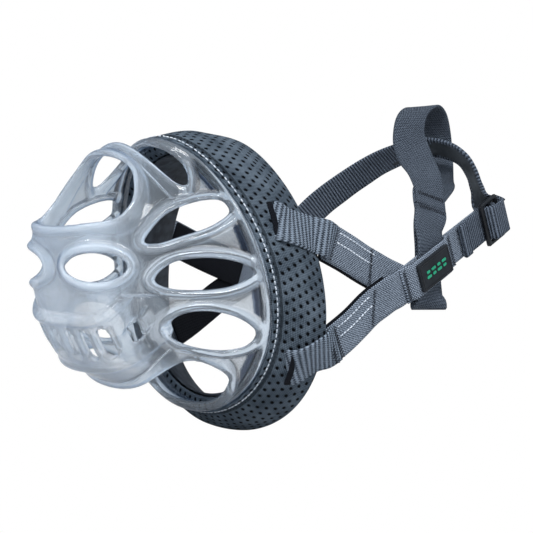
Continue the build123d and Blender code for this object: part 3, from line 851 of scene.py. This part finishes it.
# Directions at the slider: along the near strap, across it and out of it.
slider_low, slider_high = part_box("slider")
SLIDER = np.array((slider_low + slider_high) / 2) / MM
U = unit([-0.08, 0.92, 0.38])
W = unit([0, -0.382, 0.924])
N = unit(np.cross(U, W))
# The near strap lies this far under the slider's middle; the keeper sits this far along it.
STRAP_DROP = 4.2
KEEPER_AT = -65.3


def slider_point(along, out):
    """Point at a distance along and out of the near strap, from the slider."""
    return tuple(SLIDER + U * along + N * out)


def strap_at_slider(name, route, material, **shape):
    """Webbing whose route is given as (along, out) from the slider."""
    path = [slider_point(along, out) for along, out in route]
    return strap(name, path, [tuple(W)] * len(path), material, **shape)


NEAR_RUN = [slider_point(a, -STRAP_DROP) for a in (-91.5, -78, -65, -50, -36, -22, -10)]
NEAR_ACROSS = LOWER_ARM_ACROSS + [tuple(W)] * len(NEAR_RUN)
near_strap = strap("near_strap", LOWER_ARM + NEAR_RUN, NEAR_ACROSS, TWEED)
FAR_RUN = [
    (-57.0, 102, -7.4), (-54.5, 113, 2.5), (-48, 128, 17), (-39, 142, 34), (-27, 154.5, 47.5),
    (-10, 165, 60), (8, 171.5, 67), (19, 176.5, 68.5), (29.5, 180.5, 66), (36.8, 183, 61),
    (40.5, 185.6, 54), (42.4, 188.2, 45.5), (44.6, 191, 37.5),
    slider_point(11.6, -2.6), slider_point(10.4, -2.0),
]
FAR_ACROSS = LOWER_ARM_ACROSS + [
    (0, -0.4, 0.92), (0, -0.5, 0.87), (0.02, -0.58, 0.81), (0.03, -0.68, 0.73), (0.06, -0.75, 0.66),
    (0.1, -0.83, 0.55), (0.25, -0.82, 0.5), (0.4, -0.75, 0.5), (0.54, -0.7, 0.46), (0.64, -0.66, 0.38),
    (0.68, -0.64, 0.34), (0.64, -0.6, 0.46), (0.4, -0.48, 0.76),
    tuple(W), tuple(W),
]
far_strap = strap("far_strap", on_side(LOWER_ARM, -1) + FAR_RUN, FAR_ACROSS, WEBBING)


def smooth_shaded_inner_face(piece, behind):
    """Gives a strap's inner face, where it lies behind a y in millimetres, a smoother and darker material:
    painted shade on that face.
    """
    piece.data.materials.append(SMOOTH)
    for face in piece.data.polygons:
        side = face.index % (STRAP_SIDES // 2)
        flat = 2 <= side <= FLAT_POINTS - 2
        if flat and face.center.y / MM > behind and face.normal.y - face.normal.x < 0:
            face.material_index = 1


smooth_shaded_inner_face(far_strap, behind=172)
for piece, nodes in ((near_strap, ("lower_arm_left", "neck_strap_left")),
                     (far_strap, ("lower_arm_right", "neck_strap_right"))):
    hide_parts(*nodes)
    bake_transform(piece)

for side, sign in SIDES:
    for part, path, across, material in (
        ("upper_tab", UPPER_TAB, UPPER_TAB_ACROSS, RIBBED),
        ("lower_tab", LOWER_TAB, LOWER_TAB_ACROSS, RIBBED),
        ("upper_arm", UPPER_ARM, UPPER_ARM_ACROSS, TWEED),
    ):
        piece = strap(f"{part}.{side}", on_side(path, sign), on_side(across, sign), material)
        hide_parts(f"{part}_{side}")
        if part == "upper_arm":
            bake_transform(piece)
        else:
            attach(piece, "muzzle")


# ---------- slits, backing and stitching ----------

SLIT_WIDTH, SLIT_FORWARD = 3.6, 2.6
BACKING_DROP = np.array([1.5, 0, 0])
BACKING_THICKNESS = 1.2


def tab_slit(name, tab, across, side, sign):
    """Slit in the cuff where a tab comes out, drawn as a near-black strip: painted shade in the slit."""
    start, wide = np.array(tab[1]), unit(across[1])
    forward = unit(np.array(tab[1]) - np.array(tab[2]))
    line = []
    for reach in (-9.5, -5, 0, 5, 9.5):
        spot = start + wide * reach + forward * SLIT_FORWARD
        line.append(on_cuff(spot[1], spot[2], 0.6))
    headings = on_side([forward] * len(line), sign)
    slit = strap(f"tab_slit_{name}.{side}", on_side(line, sign), headings, BACKING_AND_SLIT_SHADE,
                 width=SLIT_WIDTH, thickness=BACKING_THICKNESS, wave=0.0)
    stand_in(slit, "mesh_pad", "muzzle")


def arm_backing(name, arm, across, shift, side, sign):
    """Black backing under an arm, shifted so that one of its edges shows."""
    line = [np.array(p) + unit(across) * shift - BACKING_DROP for p in arm]
    back = strap(f"arm_backing_{name}.{side}", on_side(line, sign), [across] * len(line), BACKING_AND_SLIT_SHADE,
                 thickness=BACKING_THICKNESS, wave=0.0)
    stand_in(back, "webbing", "muzzle")


for side, sign in SIDES:
    tab_slit("upper", UPPER_TAB, UPPER_TAB_ACROSS, side, sign)
    tab_slit("lower", LOWER_TAB, LOWER_TAB_ACROSS, side, sign)
    arm_backing("upper", UPPER_ARM[:5], UPPER_WIDE, -0.9, side, sign)
    arm_backing("lower", LOWER_ARM, LOWER_WIDE, 0.9, side, sign)


def stitch_row(path, across, offset, stand, pitch=2.6, length=1.8, start=0.0, end=1.0):
    """Short raised stitches in a row along a strap, at an offset across it."""
    count = 500
    centre, _, wide, out = strap_frames(path, across, count)
    reach = np.concatenate([[0], np.cumsum(np.linalg.norm(np.diff(centre, axis=0), axis=1))])
    lines = []
    for at in np.arange(start * reach[-1] + 0.8, end * reach[-1] - length, pitch):
        line = []
        for part in (0, 0.25, 0.5, 0.75, 1):
            place = at + part * length
            k = min(count - 1, int(np.searchsorted(reach, place)))
            lift = stand + 0.16 * sin(pi * part) - 0.1
            line.append(centre[k] + wide[k] * offset + out[k] * lift)
        lines.append(line)
    return lines


def bar_tack(centre, along, across, out, width, depth, teeth=11):
    """Dense zigzag of thread across a strap."""
    line = []
    for k in range(2 * teeth + 1):
        side = -1 if k % 2 else 1
        line.append(np.array(centre) + unit(across) * width * (k / (2 * teeth) - 0.5)
                    + unit(along) * depth / 2 * side + unit(out) * 0.1)
    return line


THREAD_RADIUS, LIGHT_THREAD_RADIUS = 0.3, 0.36
ARM_ROW_OFFSETS = (1.5, 6.5)
ARM_ROW_STAND = 0.9
# Bar-tacks at the tab ends and the V: centre, along, across, width and depth.
ARM_TACKS = [
    ((59.6, 45.5, 18.2), (0, 0.93, -0.37), UPPER_WIDE, 17, 3.2),
    ((58.7, 50.3, 16.6), (0, 0.93, -0.37), UPPER_WIDE, 16.5, 1.6),
    ((61.4, 46.5, -34.0), (0, 0.9, 0.42), LOWER_WIDE, 17, 3.2),
    ((60.2, 52.3, -31.6), (0, 0.9, 0.42), LOWER_WIDE, 16.5, 1.6),
    ((58.2, 80.5, -16.4), (0, 1, 0), (0, 0.1, 1), 18, 1.8),
    ((56.1, 80.5, 4.2), (0, 1, 0), (0, 0.1, 1), 18, 1.8),
]


def arm_stitches(side, sign):
    """Light rows of stitches on both arms of a side."""
    upper, lower = on_side(UPPER_ARM, sign), on_side(LOWER_ARM, sign)
    stand = sign * ARM_ROW_STAND
    lines = []
    for offset in ARM_ROW_OFFSETS:
        lines += stitch_row(upper, UPPER_ARM_ACROSS, offset, stand, start=0.1, end=0.6)
        lines += stitch_row(lower, LOWER_ARM_ACROSS, offset, stand, start=0.15, end=0.72)
    rows = tubes(f"light_stitches.{side}", lines, LIGHT_THREAD_RADIUS, LIGHT_THREAD)
    stand_in(rows, "thread", "muzzle")


def arm_tacks(side, sign):
    """Dark bar-tacks on the arms of a side."""
    lines = []
    for (x, y, z), along, across, width, depth in ARM_TACKS:
        lines.append(bar_tack((sign * x, y, z), along, across, (sign, 0, 0), width, depth))
    tacks = tubes(f"bar_tacks.{side}", lines, THREAD_RADIUS, THREAD)
    stand_in(tacks, "thread", "muzzle", f"arm_tacks_{side}")


def binding_seam():
    """Light stitches round the binding's front edge."""
    path = [rim_point(turn, 2.05, 2.9) for turn in RIM_TURNS]
    lines = stitch_row(path, [tuple(Y)] * len(path), 0.0, 0.0, length=1.6)
    seam = tubes("binding_seam", lines, THREAD_RADIUS, LIGHT_THREAD)
    stand_in(seam, "thread", "muzzle")


for side, sign in SIDES:
    arm_stitches(side, sign)
    arm_tacks(side, sign)
binding_seam()


# ---------- keeper and label ----------

# The keeper's route as (along, height over the near strap), from its middle.
KEEPER_ROUTE = [
    (-24, 1.7), (-20.5, 1.8), (-17, 4.0), (-8, 4.3), (0, 4.3), (8, 4.3), (17, 4.0), (20.5, 1.8), (24, 1.7)]
keeper_route = [(KEEPER_AT + along, height - STRAP_DROP) for along, height in KEEPER_ROUTE]
keeper = strap_at_slider("keeper", keeper_route, TWEED)
stand_in(keeper, "webbing", "neck_loop", "strap_keeper")

keeper_thread = []
for reach in (-22.5, 22.5):
    spot = slider_point(KEEPER_AT + reach, 2.8 - STRAP_DROP)
    keeper_thread.append(bar_tack(spot, U, W, N, 17, 2.0))
tacks = tubes("keeper_stitches", keeper_thread, THREAD_RADIUS, THREAD)
stand_in(tacks, "thread", "neck_loop", "keeper_tacks")


def rounded_plate(name, centre, length, height, radius, thickness, material, bevel=0.5):
    """Flat plate with round corners lying on the strap, its length along it."""
    base = [centre + U * x + W * y for x, y in rounded_rectangle(length, height, radius)]
    points = base + [p + N * thickness for p in base]
    plate = add_mesh(name, points, prism_faces(ROUND_POINTS), material, smooth=False)
    soft = plate.modifiers.new("soft_edges", "BEVEL")
    soft.width = bevel * MM
    soft.segments = 3
    return plate


LABEL_LENGTH, LABEL_HEIGHT, LABEL_THICKNESS = 30, 15.5, 1.8
LABEL_MARGIN = 2.4
DASH_PITCH, DASH_HEIGHT, DASH_THICKNESS = 5.2, 1.5, 0.35
ROW_PITCH = 2.6

label_low, label_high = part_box("label_patch")
label_base = np.array((label_low + label_high) / 2) / MM - N * LABEL_THICKNESS / 2
label_top = label_base + N * LABEL_THICKNESS
label = rounded_plate("label", label_base, LABEL_LENGTH, LABEL_HEIGHT, 1.5, LABEL_THICKNESS, RUBBER)
border = rounded_rectangle(LABEL_LENGTH - LABEL_MARGIN, LABEL_HEIGHT - LABEL_MARGIN, 1.2)
edge_line = [label_top + U * x + W * y for x, y in border]
trim = tubes("label_border", [edge_line], 0.35, BLACK, closed=True)
dashes = []
for row in range(2):
    for column in range(4):
        at = label_top + U * DASH_PITCH * (column - 1.5) + W * ROW_PITCH * (0.5 - row)
        span = 4.2 if (row + column) % 2 else 3.0
        dashes.append(rounded_plate("dash", at, span, DASH_HEIGHT, 0.7, DASH_THICKNESS, GREEN, 0.15))
motif = join("label_bars", dashes)
stand_in(label, "label_rubber", "neck_loop", "label_patch")
stand_in(motif, "label_motif", "neck_loop", "label_motif")
stand_in(trim, "label_rubber", "neck_loop")


# ---------- slider and the webbing through it ----------

BAR_SIDES = 16
BAR_SQUARENESS = 0.6
SLIDER_THICKNESS = 2.6
BAR_WIDTH, BAR_HALF_LENGTH = 3.0, 11.3
SIDE_WIDTH, SIDE_HALF_LENGTH = 2.3, 8.4


def rounded_square(value):
    """Sine or cosine pushed outwards, so that a circle becomes a rounded square."""
    return np.sign(value) * abs(value) ** BAR_SQUARENESS


def bar(name, start, end, width):
    """Rounded bar between two points in slider coordinates (along, across)."""
    a, b = (SLIDER + U * along + W * across for along, across in (start, end))
    side = unit(np.cross(unit(b - a), N))
    points = []
    for p in (a, b):
        for k in range(BAR_SIDES):
            turn = TURN * k / BAR_SIDES
            wide = width / 2 * rounded_square(cos(turn))
            high = SLIDER_THICKNESS / 2 * rounded_square(sin(turn))
            points.append(p + side * wide + N * high)
    return add_mesh(name, points, prism_faces(BAR_SIDES), BLACK)


slider_parts = []
for u in (-7.5, 0.0, 7.5):
    slider_parts.append(bar("slider_bar", (u, -BAR_HALF_LENGTH), (u, BAR_HALF_LENGTH), BAR_WIDTH))
for w in (-11.35, 11.35):
    slider_parts.append(bar("slider_side", (-SIDE_HALF_LENGTH, w), (SIDE_HALF_LENGTH, w), SIDE_WIDTH))
slider = join("slider_frame", slider_parts)
remesh = slider.modifiers.new("melt", "REMESH")
remesh.mode = "VOXEL"
remesh.voxel_size = 0.35 * MM
remesh.use_smooth_shade = True
stand_in(slider, "slider_plastic", "neck_loop", "slider")

# Webbing round the bars, as (along, out) from the slider.
END_LOOP = [
    (-9.4, -4.2), (-2, -4.2), (2.4, -3.6), (3.1, -1.5), (2.9, 1.6),
    (1.5, 2.8), (-1.5, 2.8), (-2.9, 1.6), (-3.0, -1.4),
]
TURNBACK = [
    (10.4, -2.0), (10.3, 0.6), (9.7, 3.3), (7.4, 4.7), (2, 4.9), (-2.6, 4.8), (-4.4, 3.6),
    (-4.9, 1.0), (-5.3, -1.5), (-7.2, -2.3), (-10.2, -2.3),
]
for name, route in (("end_loop", END_LOOP), ("turnback", TURNBACK)):
    piece = strap_at_slider(name, route, WEBBING, thickness=1.5, step=0.7, wave=0.0)
    stand_in(piece, "webbing", "neck_loop", f"strap_{name}")

TAIL_ROUTE = [
    (-10.8, -2.3), (-18, -2.3), (-25, -2.2), (-29.4, -2.1),
    (-30.6, -1.5), (-30.4, -0.7), (-28.6, -0.5), (-25, -0.6),
]
tail = strap_at_slider("tail", TAIL_ROUTE, WEBBING, thickness=1.4, step=0.8, wave=0.05)
stand_in(tail, "webbing", "tail", "strap_tail")


# ---------- collar loop ----------

SPLICE = np.array([47.0, 139.5, 35.0])
SPLICE_ALONG = unit([-0.45, 0.46, 0.77])
SPLICE_WIDE = (0.4, 0.9, -0.3)
SPLICE_OUT = unit(np.cross(unit(SPLICE_WIDE), SPLICE_ALONG))
PLY = 0.95


def splice_point(along, out):
    """Point next to the splice of the two rings."""
    return tuple(SPLICE + SPLICE_ALONG * along + SPLICE_OUT * out)


LOWER_RING = [
    splice_point(-2, PLY), splice_point(-6, PLY), (52.5, 131.5, 25), (55.4, 128.3, 19),
    (56.6, 126.6, 13), (57, 126.2, 2), (57.3, 126.6, -11), (56.4, 127.8, -17), (54, 130.2, -19.6),
    (51.4, 132.6, -17), (50.4, 133.6, -11), (50, 134, 2), (49.6, 134.4, 13), (48.6, 135.4, 24),
    splice_point(-6, -PLY), splice_point(-2, -PLY),
]
LOWER_RING_ACROSS = [
    SPLICE_WIDE, SPLICE_WIDE, (0.15, 0.98, -0.1), (0.05, 1, 0), (-0.05, 1, 0), (-0.05, 1, 0),
    (-0.05, 1, 0), (0.4, 0.91, -0.1), (0.68, 0.73, 0), (0.5, 0.86, 0.1), (0.3, 0.95, 0),
    (0.1, 1, 0), (0.1, 1, 0), (0.2, 0.98, -0.1), SPLICE_WIDE, SPLICE_WIDE,
]
UPPER_RING = [
    splice_point(-1.6, PLY), splice_point(7, PLY), (36, 149, 52), (25, 154.5, 62),
    (16.5, 159, 74), (14, 165, 86), (13.5, 175, 91.5), (12, 185, 88), (10, 192, 76), (12, 191, 62),
    (22, 178, 50), (34, 163, 46), splice_point(7, -PLY), splice_point(-1.6, -PLY),
]
UPPER_RING_ACROSS = [
    SPLICE_WIDE, SPLICE_WIDE, (0.6, 0.75, -0.1), (0.82, 0.5, 0),
    *[(0.93, 0.3, 0.05)] * 6,
    (0.82, 0.5, 0), (0.6, 0.75, -0.1), SPLICE_WIDE, SPLICE_WIDE,
]
for part, route, across in (("lower", LOWER_RING, LOWER_RING_ACROSS),
                            ("upper", UPPER_RING, UPPER_RING_ACROSS)):
    ring = strap(f"collar_ring_{part}", route, across, COLLAR, thickness=1.5, wave=0.05)
    stand_in(ring, "collar_webbing", "collar_loop", f"collar_loop_{part}")

splice_thread = []
for along in (-4, 5):
    spot = splice_point(along, 2.0)
    splice_thread.append(bar_tack(spot, SPLICE_ALONG, SPLICE_WIDE, SPLICE_OUT, 16, 2.4))
splice_tacks = tubes("splice_stitches", splice_thread, THREAD_RADIUS, THREAD)
stand_in(splice_tacks, "thread", "collar_loop", "loop_tacks")


# ---------- floor, light and camera ----------

FLOOR_REACH = 9000
FLOOR_GAP = 2


def make_floor():
    """Pale sheet under the object: white to the camera, matte grey to everything else."""
    s = Shader("floor", Roughness=0.9)
    grey, pale = 0.55, 0.55 * 1.05
    s.colour(s.mix(s.noise(3.0), (grey, grey, grey), (pale, pale, pale)))
    glow = s.node("ShaderNodeEmission", [(0, (1, 1, 1, 1)), (1, 1.0)])
    seen = s.node("ShaderNodeLightPath").outputs["Is Camera Ray"]
    both = s.node("ShaderNodeMixShader", [(0, seen), (1, s.base.outputs[0]), (2, glow.outputs[0])])
    s.links.new(both.outputs[0], s.nodes["Material Output"].inputs[0])
    level = size_box[0][2] / MM - FLOOR_GAP
    corners = [(FLOOR_REACH * x, FLOOR_REACH * y, level) for x, y in ((-1, -1), (1, -1), (1, 1), (-1, 1))]
    add_mesh("floor", corners, [(0, 1, 2, 3)], s.material, smooth=False)


def area_light(name, place, target, size, power, mirrored_in_plastic=False):
    """Soft square light aimed at a point; clear plastic only reflects the ones that ask for it."""
    lamp = bpy.data.lights.new(name, "AREA")
    lamp.size = size
    lamp.energy = power
    made = bpy.data.objects.new(name, lamp)
    made.location = place
    made.rotation_euler = (Vector(target) - Vector(place)).to_track_quat("-Z", "Y").to_euler()
    made.visible_transmission = False
    made.visible_glossy = mirrored_in_plastic
    bpy.context.scene.collection.objects.link(made)


make_floor()

# Places in metres, powers in watts.
MIDDLE = (0.01, 0.06, 0.0)
area_light("key", (0.7, -0.6, 1.0), MIDDLE, 0.6, 14)
area_light("streak", (0.9, 0.1, 0.6), MIDDLE, 0.25, 3, mirrored_in_plastic=True)
area_light("rim_streak", (0.0, -1.0, 0.8), MIDDLE, 0.3, 3, mirrored_in_plastic=True)
area_light("fill", (-0.7, -0.9, 0.6), MIDDLE, 0.7, 5)
area_light("back", (-0.4, 0.9, 0.9), MIDDLE, 0.8, 7)


def studio_world():
    """White to the camera, and soft grey-blue bands to everything else."""
    world = bpy.data.worlds.new("studio")
    bpy.context.scene.world = world
    world.use_nodes = True
    s = NodeTree(world.node_tree)
    white = s.nodes["Background"]
    white.inputs[0].default_value = (1, 1, 1, 1)
    coords = s.node("ShaderNodeTexCoord").outputs["Generated"]
    heading = s.node("ShaderNodeSeparateXYZ", [(0, coords)]).outputs
    wave = s.math("SINE", s.math("MULTIPLY_ADD", heading[0], 4.0, heading[2]))
    level = s.node("ShaderNodeMapRange", [(0, wave), (1, -1.0), (2, 1.0), (3, 0.3), (4, 0.8)])
    room = s.node("ShaderNodeBackground", [(0, (0.80, 0.90, 1.0, 1)), (1, level.outputs[0])])
    seen = s.node("ShaderNodeLightPath").outputs["Is Camera Ray"]
    both = s.node("ShaderNodeMixShader", [(0, seen), (1, room.outputs[0]), (2, white.outputs[0])])
    s.links.new(both.outputs[0], s.nodes["World Output"].inputs[0])


studio_world()

CAMERA_PLACE = (0.48224, -0.41651, 0.03262)
CAMERA_HEADING = (-0.7089, 0.7040, -0.0433)
CAMERA_LENS, CAMERA_SENSOR = 87.8, 36
camera_data = bpy.data.cameras.new("camera")
camera_data.lens = CAMERA_LENS
camera_data.sensor_width = CAMERA_SENSOR
camera = bpy.data.objects.new("camera", camera_data)
camera.location = CAMERA_PLACE
camera.rotation_euler = Vector(CAMERA_HEADING).to_track_quat("-Z", "Y").to_euler()
bpy.context.scene.collection.objects.link(camera)
bpy.context.scene.camera = camera
bpy.context.scene.view_settings.view_transform = "Standard"
